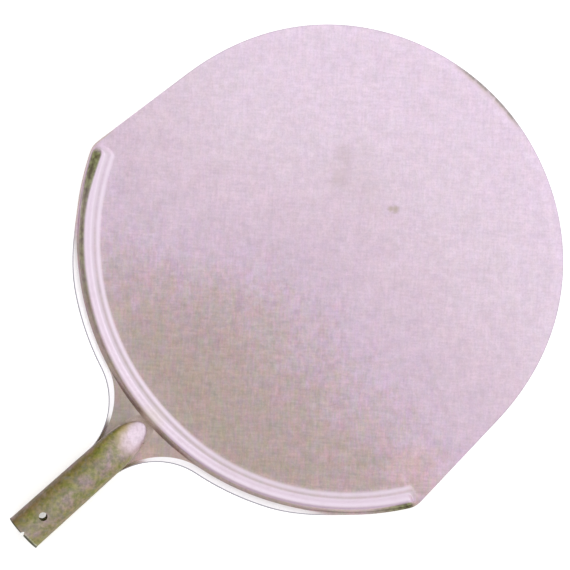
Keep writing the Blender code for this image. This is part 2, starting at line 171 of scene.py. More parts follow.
# Mesh density
FRONT_STEPS = 90
SIDE_STEPS = 24
REAR_FROM = 70.0 * DEG
REAR_STEP = 0.7 * DEG
REAR_CLEARANCE = 0.4 * REAR_STEP  # between the last ray and the throat
END_STEP = 0.2 * DEG
THROAT_STEPS = 36
TONGUE_STEPS = 5
RIM_ROWS = 10
WEB_ROWS = 10
BEAD_ROWS = 44
DISC_ROWS = 16
ROW_PITCH = 0.1 * MM  # closest that bead rows may crowd
HUB_SETBACK = 20.0 * MM  # from the bead's centre to where the disc's rows meet
SECTION_STEP = 3.0 * DEG
CONE_RINGS = 60
NOSE_RINGS = 44
RIM_STEPS = 4
NOSE_LAST_RING = 86.0 * DEG
SIDE_WELD_STEPS = 60
NOSE_WELD_STEPS = 48

FRONT_CENTRE = Vector((0.0, LENGTH - FRONT_RADIUS, 0.0))
HUB = Vector((0.0, BEAD_CENTRE.y - HUB_SETBACK, 0.0))
SIDE_OUTWARD = Vector((math.cos(SIDE_SPREAD), math.sin(SIDE_SPREAD), 0.0))
SIDE_START = FRONT_CENTRE + SIDE_OUTWARD * FRONT_RADIUS
TO_FRAME = Matrix.Translation((0.0, MOUTH_Y, 0.0))
SHARP_ANGLE = 40.0 * DEG

# Bright rubbing with a painted highlight on the bead's inner flank, and dirt with painted shade on
# its outer flank, in offsets from the crest; on the right they lie further out
BEAD_MARKS_SHIFT = 1.9 * MM
BEAD_MARKS_SHIFT_FROM = -2.0 * DEG
BEAD_MARKS_SHIFT_TO = 22.0 * DEG
RUBBED_AND_LIT_FROM = -14.4 * MM
RUBBED_AND_LIT_FROM_FADE = 3.2 * MM
RUBBED_AND_LIT_TO = 0.7 * MM
RUBBED_AND_LIT_TO_FADE = 4.0 * MM
BEAD_SHADE_LINE = -8.9 * MM  # painted shade: a duller line between the low step and the ridge
BEAD_SHADE_LINE_WIDTH = 1.3 * MM
BEAD_SHADE_LINE_DEPTH = 0.55
GRIME_AND_SHADE_FROM = -1.6 * MM
GRIME_AND_SHADE_FROM_AT_END = -3.8 * MM
GRIME_AND_SHADE_TO = 2.4 * MM
GRIME_AND_SHADE_TO_AT_END = 3.3 * MM
GRIME_AND_SHADE_FADE = 1.6 * MM
GRIME_AND_SHADE_PINCH = 2.4 * MM  # how much the band narrows round the bead's end
GRIME_AND_SHADE_ANGLE_FROM = 4.0 * DEG
GRIME_AND_SHADE_ANGLE_TO = 46.0 * DEG
GRIME_AND_SHADE_RIGHT_FROM = 49.0 * DEG
GRIME_AND_SHADE_RIGHT_SHIFT = 2.6 * MM
GRIME_AND_SHADE_TAIL = 7.0 * MM
GRIME_AND_SHADE_ALONG = 0.75  # strength along the left, against 1 at its end

# Camera, straight above, turned so that the peel points up and to the right
CAMERA_CENTRE = Vector((-7.7, 29.5, 1.2)) * MM
CAMERA_HEIGHT = 3.2
CAMERA_TURN = 48.15 * DEG
CAMERA_FIELD = 439.5 * MM
CAMERA_REACH = 20.0
SENSOR = 36.0


def smooth(t):
    """Ease from 0 to 1."""
    t = min(max(t, 0.0), 1.0)
    return t * t * (3.0 - 2.0 * t)


def ease(value, start, end):
    return smooth((value - start) / (end - start))


def to_mesh(bm, name):
    mesh = bpy.data.meshes.new(name)
    bm.to_mesh(mesh)
    bm.free()
    return mesh


def bridge(bm, rings):
    """Faces between closed rings of vertices."""
    for ring, following in zip(rings, rings[1:]):
        for step in range(len(ring)):
            after = (step + 1) % len(ring)
            bm.faces.new((ring[step], following[step], following[after], ring[after]))


def blend(low, high, share):
    """Straight from low at 0 to high at 1."""
    return low + (high - low) * share


def shares(steps):
    """Even shares from 0 to 1, both included."""
    return [step / steps for step in range(steps + 1)]


def polar(centre, radius, angle):
    return centre + Vector((math.cos(angle), math.sin(angle), 0.0)) * radius


def rear_point(radius, angle):
    """Point about the bead's centre, at an angle counted from the rearward axis."""
    return polar(BEAD_CENTRE, radius, angle - math.pi / 2)


def rear_angle(point):
    arm = point - BEAD_CENTRE
    return math.atan2(arm.x, -arm.y)


# ---- blade

def narrowing(angle):
    """Share of the rear edge's narrowing, where the lip has died away as much."""
    return ease(angle, NARROWING_FROM, NARROWING_TO)


def corner_centre():
    """Centre of the rounded corner between the side and the rear edge."""
    along = Vector((math.sin(SIDE_SPREAD), -math.cos(SIDE_SPREAD), 0.0))
    start = SIDE_START - SIDE_OUTWARD * CORNER_RADIUS - BEAD_CENTRE
    reach = REAR_RADIUS - REAR_NARROWING - CORNER_RADIUS
    half = start.dot(along)
    run = -half + math.sqrt(half * half - start.length_squared + reach * reach)
    return start + along * run + BEAD_CENTRE


def throat_centre():
    """Centre of the concave arc that touches the rear edge and the neck."""
    x = NECK_HALF_WIDTH + THROAT_RADIUS
    reach = REAR_RADIUS + THROAT_RADIUS
    return Vector((x, BEAD_CENTRE.y - math.sqrt(reach * reach - x * x), 0.0))


def side_point(angle):
    """Point of the straight side on a ray from the bead's centre."""
    ray = rear_point(1.0, angle) - BEAD_CENTRE
    reach = (SIDE_START - BEAD_CENTRE).dot(SIDE_OUTWARD) / ray.dot(SIDE_OUTWARD)
    return BEAD_CENTRE + ray * reach


def corner_point(angle):
    """Point of the rounded corner on a ray from the bead's centre."""
    arm = corner_centre() - BEAD_CENTRE
    ray = rear_point(1.0, angle) - BEAD_CENTRE
    middle = arm.dot(ray)
    reach = middle + math.sqrt(middle ** 2 - arm.length_squared + CORNER_RADIUS ** 2)
    return BEAD_CENTRE + ray * reach


def front_stations():
    """Front arc from the tip to the side: point, inward direction, lip share, bevel share."""
    stations = []
    for share in shares(FRONT_STEPS):
        swell = math.sin(math.pi * share ** FRONT_SKEW) ** 2
        angle = blend(math.pi / 2, SIDE_SPREAD, share)
        point = polar(FRONT_CENTRE, FRONT_RADIUS + FRONT_FULLNESS * swell, angle)
        stations.append((point, (FRONT_CENTRE - point).normalized(), 0.0, 1.0))
    return stations


def side_stations():
    """Straight side, along which the bevel dies away."""
    end = side_point(REAR_FROM)
    return [(SIDE_START.lerp(end, share), -SIDE_OUTWARD, 0.0, 1.0 - smooth(share))
            for share in shares(SIDE_STEPS)[1:-1]]


def rear_angles():
    """Rays across the rear edge, closest together at the bead's rounded end."""
    throat = rear_angle(throat_centre())
    fine_from = BEAD_END + STEP_TAIL / BEAD_RADIUS
    fine_to = BEAD_END - STEP_TAIL / BEAD_RADIUS
    angles = []
    angle = REAR_FROM
    while angle > throat + REAR_CLEARANCE:
        angles.append(angle)
        angle -= END_STEP if fine_to < angle < fine_from else REAR_STEP
    return angles


def rear_stations():
    """Rear edge from the side, round the corner and along the bead to the throat."""
    centre = corner_centre()
    corner_to = rear_angle(centre)
    corner_from = rear_angle(polar(centre, CORNER_RADIUS, SIDE_SPREAD))
    stations = []
    for angle in rear_angles():
        if angle > corner_from:
            point = side_point(angle)
            inward = -SIDE_OUTWARD
        elif angle > corner_to:
            point = corner_point(angle)
            inward = (centre - point).normalized()
        else:
            point = rear_point(REAR_RADIUS - REAR_NARROWING * narrowing(angle), angle)
            inward = (BEAD_CENTRE - point).normalized()
        stations.append((point, inward, 1.0 - narrowing(angle), 0.0))
    return stations


def throat_stations():
    """Concave arc from the rear edge to the neck, where the lip narrows."""
    centre = throat_centre()
    first = (BEAD_CENTRE - centre).normalized()
    first_angle = math.atan2(first.y, first.x)
    stations = []
    for share in shares(THROAT_STEPS):
        point = polar(centre, THROAT_RADIUS, blend(first_angle, math.pi, share))
        lip = blend(1.0, LIP_AT_NECK, smooth(share))
        stations.append((point, (point - centre).normalized(), lip, 0.0))
    return stations


def tongue_stations():
    """Tongue that runs on under the socket."""
    centre = Vector((TONGUE_HALF_WIDTH - TONGUE_CORNER, TONGUE_END_Y + TONGUE_CORNER, 0.0))
    stations = []
    for step in range(TONGUE_STEPS + 1):
        point = polar(centre, TONGUE_CORNER, -math.pi / 2 * step / TONGUE_STEPS)
        stations.append((point, (centre - point).normalized(), 0.0, 0.0))
    stations.append((Vector((0.0, TONGUE_END_Y, 0.0)), Vector((0.0, 1.0, 0.0)), 0.0, 0.0))
    return stations


def bead_height(point):
    """Height of the pressed bead: a rounded ridge on a low step, both with round ends."""
    arm = point - BEAD_CENTRE
    offset = arm.length - BEAD_RADIUS
    past_end = max(0.0, abs(rear_angle(point)) - BEAD_END) * BEAD_RADIUS
    ridge_reach = RIDGE_INNER if offset < 0.0 else RIDGE_OUTER
    step_reach = STEP_INNER if offset < 0.0 else RIDGE_OUTER
    ridge_share = min(1.0, math.hypot(offset / ridge_reach, past_end / RIDGE_TAIL))
    step_share = min(1.0, math.hypot(offset / step_reach, past_end / STEP_TAIL))
    ridge = RIDGE_HEIGHT * 0.5 * (1.0 + math.cos(math.pi * ridge_share))
    return ridge + STEP_HEIGHT * smooth((1.0 - step_share) / STEP_SLOPE)


def rim_width(lip, bevel):
    return max(LIP_WIDTH * lip, MARGIN, FRONT_BEVEL * bevel)


def rim_rings(stations):
    """Rows of points from the edge to the foot of the lip or bevel."""
    rings = []
    for share in shares(RIM_ROWS):
        ring = []
        for point, inward, lip, bevel in stations:
            spot = point + inward * (rim_width(lip, bevel) * share)
            spot.x = max(spot.x, 0.0) if point.x > 0.0 else 0.0
            spot.z = LIP_RISE * lip * (1.0 - share) ** LIP_CURVE
            ring.append(spot)
        rings.append(ring)
    return rings


def inner_ring(feet, inwards, first_bead, offset, count):
    """One row inside the rim: beside the edge in front, and about the bead's centre at the rear."""
    ring = []
    for column, (foot, inward) in enumerate(zip(feet, inwards)):
        if column < first_bead:
            spot = foot + inward * (ROW_PITCH * count)
        else:
            limit = (foot - BEAD_CENTRE).xy.length - ROW_PITCH * count
            spot = rear_point(min(BEAD_RADIUS + offset, limit), rear_angle(foot))
            spot.z = bead_height(spot)
        spot.x = spot.x if foot.x > 0.0 else 0.0
        ring.append(spot)
    return ring


def inner_rings(feet, inwards, first_bead):
    """Rows across the web, then across the bead, then over the disc to its hub."""
    rings = []
    first = inner_ring(feet, inwards, first_bead, RIDGE_OUTER, WEB_ROWS)
    for share in shares(WEB_ROWS)[1:-1]:
        rings.append([foot.lerp(spot, share) for foot, spot in zip(feet, first)])
    rings.append(first)
    for row in range(1, BEAD_ROWS + 1):
        offset = blend(RIDGE_OUTER, -STEP_INNER, row / BEAD_ROWS)
        rings.append(inner_ring(feet, inwards, first_bead, offset, WEB_ROWS + row))
    last = rings[-1]
    for share in shares(DISC_ROWS)[1:-1]:
        rings.append([spot.lerp(HUB, share) for spot in last])
    return rings


def blade_mesh():
    """Right half of the blade's underside, with each point's bevel share and edge distance."""
    front = front_stations() + side_stations()
    stations = front + rear_stations() + throat_stations() + tongue_stations()
    rims = rim_rings(stations)
    inwards = [station[1] for station in stations]
    rings = rims + inner_rings(rims[-1], inwards, len(front))
    bm = bmesh.new()
    layers = [bm.verts.layers.float.new(name) for name in ("bevel", "edge", "lip", "cut")]
    rows = [[bm.verts.new(spot) for spot in ring] for ring in rings]
    for count, row in enumerate(rows[:RIM_ROWS]):
        share = count / RIM_ROWS
        cut = 1.0 if count == 0 else 0.0
        for vert, (_, _, lip, bevel) in zip(row, stations):
            edge = max(0.0, 1.0 - rim_width(lip, bevel) * share / LIP_WIDTH)
            # the lip's painted highlight
            shine = smooth(LIP_SHINE * lip) * smooth((1.0 - share) / LIP_SHINE_FADE)
            for layer, value in zip(layers, (bevel * (1.0 - share), edge, shine, cut)):
                vert[layer] = value
    for outer, inner in zip(rows, rows[1:]):
        for step in range(len(outer) - 1):
            bm.faces.new((outer[step], outer[step + 1], inner[step + 1], inner[step]))
    hub = bm.verts.new(HUB)
    for left, right in zip(rows[-1], rows[-1][1:]):
        cap = bm.faces.new((left, right, hub))
    bm.normal_update()
    if cap.normal.z < 0.0:
        bmesh.ops.reverse_faces(bm, faces=bm.faces)
    return to_mesh(bm, "blade")


def grime_and_shade_at(angle, offset, past_end):
    """Dirt with painted shade on the bead's outer flank: along the left, and at the very end on the
    right.
    """
    near_end = ease(abs(angle), GRIME_AND_SHADE_ANGLE_TO, BEAD_END)
    if angle < 0.0:
        spread = ease(-angle, GRIME_AND_SHADE_ANGLE_FROM, GRIME_AND_SHADE_ANGLE_TO) * blend(GRIME_AND_SHADE_ALONG, 1.0, near_end)
    else:
        spread = ease(angle, GRIME_AND_SHADE_RIGHT_FROM, BEAD_END)
        offset -= GRIME_AND_SHADE_RIGHT_SHIFT
    pinch = GRIME_AND_SHADE_PINCH * smooth(past_end / GRIME_AND_SHADE_TAIL)
    start = blend(GRIME_AND_SHADE_FROM, GRIME_AND_SHADE_FROM_AT_END, near_end) + pinch
    end = blend(GRIME_AND_SHADE_TO, GRIME_AND_SHADE_TO_AT_END, near_end) - pinch
    begun = smooth((offset - start) / GRIME_AND_SHADE_FADE)
    ended = smooth((offset - end) / GRIME_AND_SHADE_FADE)
    return spread * begun * (1.0 - ended) * (1.0 - smooth(past_end / GRIME_AND_SHADE_TAIL))


def bead_marks_at(spot):
    """Shares of metal bright from rubbing with a painted highlight, of dirt with painted shade and
    of the bead's outer flank at a place of the sheet.
    """
    angle = rear_angle(spot)
    past_end = max(0.0, abs(angle) - BEAD_END) * BEAD_RADIUS
    shift = BEAD_MARKS_SHIFT * ease(angle, BEAD_MARKS_SHIFT_FROM, BEAD_MARKS_SHIFT_TO)
    offset = (spot - BEAD_CENTRE).xy.length - BEAD_RADIUS - shift
    inside = smooth((offset - RUBBED_AND_LIT_FROM) / RUBBED_AND_LIT_FROM_FADE)
    outside = 1.0 - smooth((offset - RUBBED_AND_LIT_TO) / RUBBED_AND_LIT_TO_FADE + 1.0)
    # painted shade: a duller line between the low step and the ridge
    shade_line = BEAD_SHADE_LINE_DEPTH * math.exp(-((offset - BEAD_SHADE_LINE) / BEAD_SHADE_LINE_WIDTH) ** 2)
    # metal bright from rubbing, with a painted highlight on the bead's inner flank
    rubbed_and_lit = (1.0 - smooth(past_end / STEP_TAIL)) * inside * outside * (1.0 - shade_line)
    return rubbed_and_lit, grime_and_shade_at(angle, offset, past_end), smooth(offset / RIDGE_OUTER + 1.0)


def make_blade():
    """Pressed sheet: half surface, mirrored, given its gauge and its rounded cut edge."""
    mesh = blade_mesh()
    blade = add_object("blade_sheet", mesh)
    gauge = blade.vertex_groups.new(name="gauge")
    thin = FRONT_EDGE / SHEET
    for index, item in enumerate(mesh.attributes["bevel"].data):
        gauge.add([index], blend(1.0, thin, item.value), "REPLACE")
    mirror = blade.modifiers.new("both_sides", "MIRROR")
    mirror.use_clip = True
    mirror.merge_threshold = MERGE_DISTANCE
    solid = blade.modifiers.new("sheet", "SOLIDIFY")
    solid.thickness = SHEET
    solid.offset = 1.0
    solid.use_even_offset = True
    solid.vertex_group = "gauge"
    bevel = blade.modifiers.new("cut_edge", "BEVEL")
    bevel.width = EDGE_ROUND
    bevel.segments = EDGE_SEGMENTS
    bevel.limit_method = "ANGLE"
    bevel.angle_limit = EDGE_ANGLE
    bevel.use_clamp_overlap = True
    settle(blade)
    to_mouth = TO_FRAME.inverted()
    bead_marks = [bead_marks_at(to_mouth @ vert.co) for vert in blade.data.vertices]
    for name, values in zip(("rubbed_and_lit", "grime_and_shade", "flank"), zip(*bead_marks)):
        mark(blade, name, values)
    return blade


# ---- socket

def nose_drop(share):
    """Share of the nose's height lost along it: a bend, then an even slope to the tip."""
    full = math.hypot(NOSE_BEND, 1.0) - NOSE_BEND
    return (math.hypot(NOSE_BEND, share) - NOSE_BEND) / full


def socket_section(y, inset=0.0):
    """Half width, height, lower and upper squareness of the outside, or of a surface inset."""
    radius = SOCKET_RADIUS - inset
    if y <= CONE_LENGTH:
        radius += (MOUTH_RADIUS - SOCKET_RADIUS) * (1.0 - y / CONE_LENGTH)
        radius += MOUTH_FLARE * (1.0 - smooth(y / MOUTH_FLARE_LENGTH))
        return radius, 2.0 * radius, 2.0, 2.0
    share = min(1.0, (y - CONE_LENGTH) / (NOSE_LENGTH - inset))
    half_width = radius * (1.0 - share ** NOSE_PLAN_POWER) ** (1.0 / NOSE_PLAN_POWER)
    tip = NOSE_TIP_HEIGHT - 2.0 * inset
    height = 2.0 * radius - (2.0 * radius - tip) * nose_drop(share)
    change = smooth(2.0 * share)
    return half_width, height, blend(2.0, NOSE_SQUARENESS, change), blend(2.0, NOSE_CROWN, change)


def section_angles():
    """Angles round the section, close together across the seam."""
    seam = math.pi / 2 - SEAM_X / MOUTH_RADIUS
    fine = SEAM_WIDTH / MOUTH_RADIUS / 2
    near = [seam + fine * step for step in range(-SEAM_STEPS, SEAM_STEPS + 1)]
    count = round(2.0 * math.pi / SECTION_STEP)
    rest = [seam + 2.0 * math.pi * step / count for step in range(1, count)]
    last = near[0] + 2.0 * math.pi - fine
    return near + [angle for angle in rest if near[-1] + fine < angle < last]


def dent(spot):
    """Slight unevenness left by the forming, strongest on the drawn nose."""
    share = smooth((spot.y - DENT_FROM) / NOSE_LENGTH)
    slow = noise.noise(spot * DENT_SLOW_PITCH)
    quick = noise.noise(spot * DENT_QUICK_PITCH + DENT_QUICK_PLACE)
    return DENT_DEPTH * (DENT_ON_CONE + share) * (slow + DENT_QUICK_SHARE * quick)


def socket_ring(y, angles, inset):
    """Points round one section: a flattened arch over a squarer lower half, with the seam."""
    half_width, height, lower, upper = socket_section(y, inset)
    seam = math.pi / 2 - SEAM_X / MOUTH_RADIUS
    outside = 1.0 - inset / SHEET
    seam_share = outside * (1.0 - smooth((y - SEAM_END + SEAM_FADE) / SEAM_FADE))
    wander = SEAM_WANDER * noise.noise(Vector((0.0, y * SEAM_WANDER_PITCH, 0.0)))
    points = []
    for angle in angles:
        power = 2.0 / (lower if math.sin(angle) < 0.0 else upper)
        across = math.copysign(abs(math.cos(angle)) ** power, math.cos(angle))
        up = math.copysign(abs(math.sin(angle)) ** power, math.sin(angle))
        base = SOCKET_BASE_Z + inset
        spot = Vector((half_width * across, y, base + height / 2 * (1.0 + up)))
        outward = Vector((math.cos(angle), 0.0, math.sin(angle)))
        from_seam = ((angle - seam + math.pi) % (2.0 * math.pi) - math.pi) * MOUTH_RADIUS - wander
        groove = SEAM_DEPTH * seam_share * math.exp(-(from_seam / SEAM_WIDTH) ** 2)
        free = outside * smooth((spot.z - base) / DENT_CLEARANCE)
        points.append(spot + outward * (free * dent(spot) - groove))
    return points


def socket_profile():
    """The wall's profile as (place, inset): out from the nose, round the rim and back inside."""
    nose = [math.sin(NOSE_LAST_RING * step / NOSE_RINGS) for step in range(NOSE_RINGS, 0, -1)]
    cone = [CONE_LENGTH * step / CONE_RINGS for step in range(CONE_RINGS, 0, -1)]
    profile = [(CONE_LENGTH + NOSE_LENGTH * share, 0.0) for share in nose]
    profile += [(y, 0.0) for y in cone]
    turns = [math.pi / 2 * step / RIM_STEPS for step in range(RIM_STEPS + 1)]
    for turn in turns:
        profile.append((MOUTH_ROUND * (1.0 - math.sin(turn)), MOUTH_ROUND * (1.0 - math.cos(turn))))
    for y, inset in reversed(profile[-len(turns):]):
        profile.append((y, SHEET - inset))
    profile += [(y, SHEET) for y in reversed(cone)]
    profile += [(CONE_LENGTH + (NOSE_LENGTH - SHEET) * share, SHEET) for share in reversed(nose)]
    return profile


def socket_mesh():
    """Wall of the socket: a cone drawn down to a closed nose, open at the mouth."""
    bm = bmesh.new()
    angles = section_angles()
    rings = []
    for y, inset in socket_profile():
        rings.append([bm.verts.new(spot) for spot in socket_ring(y, angles, inset)])
    bridge(bm, rings)
    for ring, inset in ((rings[0], 0.0), (rings[-1], SHEET)):
        centre = sum((vert.co for vert in ring), Vector()) / len(angles)
        tip = bm.verts.new((0.0, NOSE_END - inset, centre.z))
        for step in range(len(angles)):
            bm.faces.new((ring[step], tip, ring[(step + 1) % len(angles)]))
    bmesh.ops.recalc_face_normals(bm, faces=bm.faces)
    return to_mesh(bm, "socket")


def prism(name, sides, radius, depth, matrix):
    """Closed prism used as a cutter."""
    bm = bmesh.new()
    bmesh.ops.create_cone(bm, cap_ends=True, segments=sides, radius1=radius, radius2=radius,
                          depth=depth, matrix=matrix)
    return add_object(name, to_mesh(bm, name))


def notch_cutter():
    """Three-sided prism that opens the top of the mouth in a V."""
    lift = SOCKET_BASE_Z + 2.0 * MOUTH_RADIUS
    place = Matrix.Translation((0.0, NOTCH_DEPTH - NOTCH_CUTTER, lift))
    return prism("notch_cutter", 3, NOTCH_CUTTER, MOUTH_RADIUS, place)


def nail_hole_cutter():
    drill = NAIL_HOLE_TOP - NAIL_HOLE_BOTTOM
    turn = drill.to_track_quat("Z", "Y").to_matrix().to_4x4()
    place = Matrix.Translation((NAIL_HOLE_TOP + NAIL_HOLE_BOTTOM) / 2) @ turn
    depth = drill.length + 2.0 * CUT_OVERSHOOT
    return prism("nail_hole_cutter", NAIL_HOLE_SIDES, NAIL_HOLE_RADIUS, depth, place)


def make_socket():
    """Rolled socket with a closed nose, a notched mouth and a nail hole."""
    socket = add_object("socket_tube", socket_mesh())
    cutters = (notch_cutter(), nail_hole_cutter())
    for cutter in cutters:
        cut = socket.modifiers.new(cutter.name, "BOOLEAN")
        cut.operation = "DIFFERENCE"
        cut.solver = "EXACT"
        cut.object = cutter
    settle(socket)
    for cutter in cutters:
        bpy.data.objects.remove(cutter, do_unlink=True)
    return socket


# ---- welds

def socket_half_width_at(y, z):
    """Half width of the socket's lower half at a height z."""
    half_width, height, lower, _ = socket_section(y)
    if half_width == 0.0:
        return 0.0
    drop = min(max((SOCKET_BASE_Z + height / 2 - z) / (height / 2), 0.0), 1.0)
    return half_width * (1.0 - drop ** lower) ** (1.0 / lower)


def weld_wall(y):
    """Point of the socket's wall beside the weld, on the right."""
    y = min(y, NOSE_END)
    return Vector((socket_half_width_at(y, WELD_WALL_Z), y, SHEET + GAP + WELD_RADIUS))


def weld_spot(y):
    """Middle of the weld beside the wall, on the right."""
    along = weld_wall(y + WELD_PROBE) - weld_wall(y - WELD_PROBE)
    outward = Vector((along.y, -along.x, 0.0)).normalized()
    return weld_wall(y) + outward * WELD_STANDOFF


def nose_route():
    """Route of the run round the nose, from the right break to the left one."""
    start_y = WELD_BREAK_Y + WELD_BREAK
    reach = NOSE_END - start_y
    turns = [math.pi / 2 * step / NOSE_WELD_STEPS for step in range(NOSE_WELD_STEPS)]
    right = [weld_spot(start_y + reach * math.sin(turn)) for turn in turns]
    tip = weld_wall(LENGTH) + Vector((0.0, WELD_STANDOFF, 0.0))
    return right + [tip] + [Vector((-spot.x, spot.y, spot.z)) for spot in reversed(right)]


def side_route(side):
    """Route of a side run, from its rear end to the break."""
    places = [blend(WELD_REAR_Y, WELD_BREAK_Y, share) for share in shares(SIDE_WELD_STEPS)]
    return [Vector((side * spot.x, spot.y, spot.z)) for spot in map(weld_spot, places)]


def even_route(route, step):
    """The same route with its points a fixed step apart."""
    spots = [route[0]]
    carried = 0.0
    for start, end in zip(route, route[1:]):
        run = (end - start).length
        place = step - carried
        while place <= run:
            spots.append(start.lerp(end, place / run))
            place += step
        carried = run - (place - step)
    return spots


def weld_section(reach, climb):
    """Hollow fillet as (distance from the wall, height over the blade)."""
    arc = [(reach * share, climb * (1.0 - share) ** WELD_HOLLOW)
           for share in shares(WELD_ARC_STEPS)]
    return [(-WELD_LAP, -WELD_SINK), (-WELD_LAP, climb), *arc, (reach, -WELD_SINK)]


def weld_size(run, left, seed):
    """Share of the full section after a run of weld: rounded ends, unevenness and ripples."""
    end = min(run, left) / WELD_LEG
    cap = math.sqrt(max(WELD_END, 1.0 - max(0.0, 1.0 - end) ** 2))
    uneven = 1.0 + WELD_UNEVENNESS * noise.noise(Vector((run * WELD_UNEVEN_PITCH, seed, 0.0)))
    drift = WELD_RIPPLE_DRIFT * noise.noise(Vector((run * WELD_DRIFT_PITCH, seed, 5.0)))
    wave = abs(math.sin(math.pi * (run + drift) / WELD_RIPPLE))
    return cap * uneven * (1.0 - WELD_RIPPLE_DEPTH + WELD_RIPPLE_DEPTH * wave)


def weld_ring(bm, spot, outward, size):
    """Vertices of one section, which widens towards the front of the nose."""
    front = smooth((spot.y - NOSE_END) / NOSE_WELD_LENGTH + 1.0)
    reach = size * blend(WELD_LEG, NOSE_WELD_REACH, front)
    climb = size * blend(WELD_LEG, NOSE_WELD_CLIMB, front)
    foot = spot - outward * WELD_STANDOFF
    ring = []
    for out, up in weld_section(reach, climb):
        place = foot + outward * out
        place.z = SHEET + up
        ring.append(bm.verts.new(place))
    return ring


def make_weld(name, route, seed):
    """Weld metal laid in overlapping ripples, run out at its ends."""
    spots = even_route(route, WELD_STEP)
    last = len(spots) - 1
    side = 1.0 if route[0].x > 0.0 else -1.0
    bm = bmesh.new()
    rings = []
    for count, spot in enumerate(spots):
        along = (spots[min(count + 1, last)] - spots[max(count - 1, 0)]).normalized()
        outward = along.cross(Vector((0.0, 0.0, 1.0))).normalized() * side
        size = weld_size(count * WELD_STEP, (last - count) * WELD_STEP, seed)
        rings.append(weld_ring(bm, spot, outward, size))
    bridge(bm, rings)
    bm.faces.new(reversed(rings[0]))
    bm.faces.new(rings[-1])
    bmesh.ops.recalc_face_normals(bm, faces=bm.faces)
    return settle(add_object(name, to_mesh(bm, name)))


# ---- objects

def linked(name, data):
    """Object in the scene."""
    obj = bpy.data.objects.new(name, data)
    bpy.context.scene.collection.objects.link(obj)
    return obj


def add_object(name, data):
    """Object of a mesh that is moved from the mouth's y to the frame's."""
    data.transform(TO_FRAME)
    return linked(name, data)


def settle(obj):
    """Keep the evaluated shape, shaded smooth between its sharp edges."""
    depsgraph = bpy.context.evaluated_depsgraph_get()
    mesh = bpy.data.meshes.new_from_object(obj.evaluated_get(depsgraph))
    obj.modifiers.clear()
    obj.data = mesh
    mesh.shade_smooth()
    mesh.set_sharp_from_angle(angle=SHARP_ANGLE)
    return obj


def mark(obj, name, values):
    """Attribute with a value for each vertex."""
    obj.data.attributes.new(name, "FLOAT", "POINT").data.foreach_set("value", values)


def mark_heat(obj, spots):
    """Attribute that fades from 1 at the welds to 0 well away from them."""
    tree = kdtree.KDTree(len(spots))
    for index, spot in enumerate(spots):
        tree.insert(TO_FRAME @ spot, index)
    tree.balance()
    distances = [tree.find(vert.co)[2] for vert in obj.data.vertices]
    mark(obj, "heat", [math.exp(-distance / HEAT_REACH) for distance in distances])


# ---- materials

class Nodes:
    """Steps that add nodes to a tree and link them."""

    def __init__(self, tree):
        self.nodes = tree.nodes
        self.links = tree.links

    def feed(self, socket, value):
        if isinstance(value, bpy.types.NodeSocket):
            self.links.new(value, socket)
        elif socket.type == "RGBA":
            socket.default_value = (*value, 1.0)
        else:
            socket.default_value = value

    def step(self, kind, inputs, output=0, **settings):
        """Output of a new node, whose inputs are values or other nodes' outputs."""
        node = self.nodes.new("ShaderNode" + kind)
        for setting, value in settings.items():
            setattr(node, setting, value)
        for key, value in inputs.items():
            self.feed(node.inputs[key], value)
        return node.outputs[output]

    def math(self, operation, first, second=0.0, third=0.0):
        return self.step("Math", {0: first, 1: second, 2: third}, operation=operation)

    def vectors(self, operation, first, second=(0.0, 0.0, 0.0), output="Vector"):
        return self.step("VectorMath", {0: first, 1: second}, output, operation=operation)

    def ramp(self, value, low, high, stops):
        """Colour along a range of values, from stops as (place between 0 and 1, colour)."""
        node = self.nodes.new("ShaderNodeValToRGB")
        elements = node.color_ramp.elements
        while len(elements) < len(stops):
            elements.new(0.5)
        for element, (place, colour) in zip(elements, stops):
            element.position = place
            element.color = (*colour, 1.0)
        scaled = self.math("MULTIPLY_ADD", value, 1.0 / (high - low), -low / (high - low))
        self.links.new(scaled, node.inputs[0])
        return node.outputs[0]


def evenly(colours):
    """Stops of a ramp an even step apart."""
    return [(index / (len(colours) - 1), colour) for index, colour in enumerate(colours)]


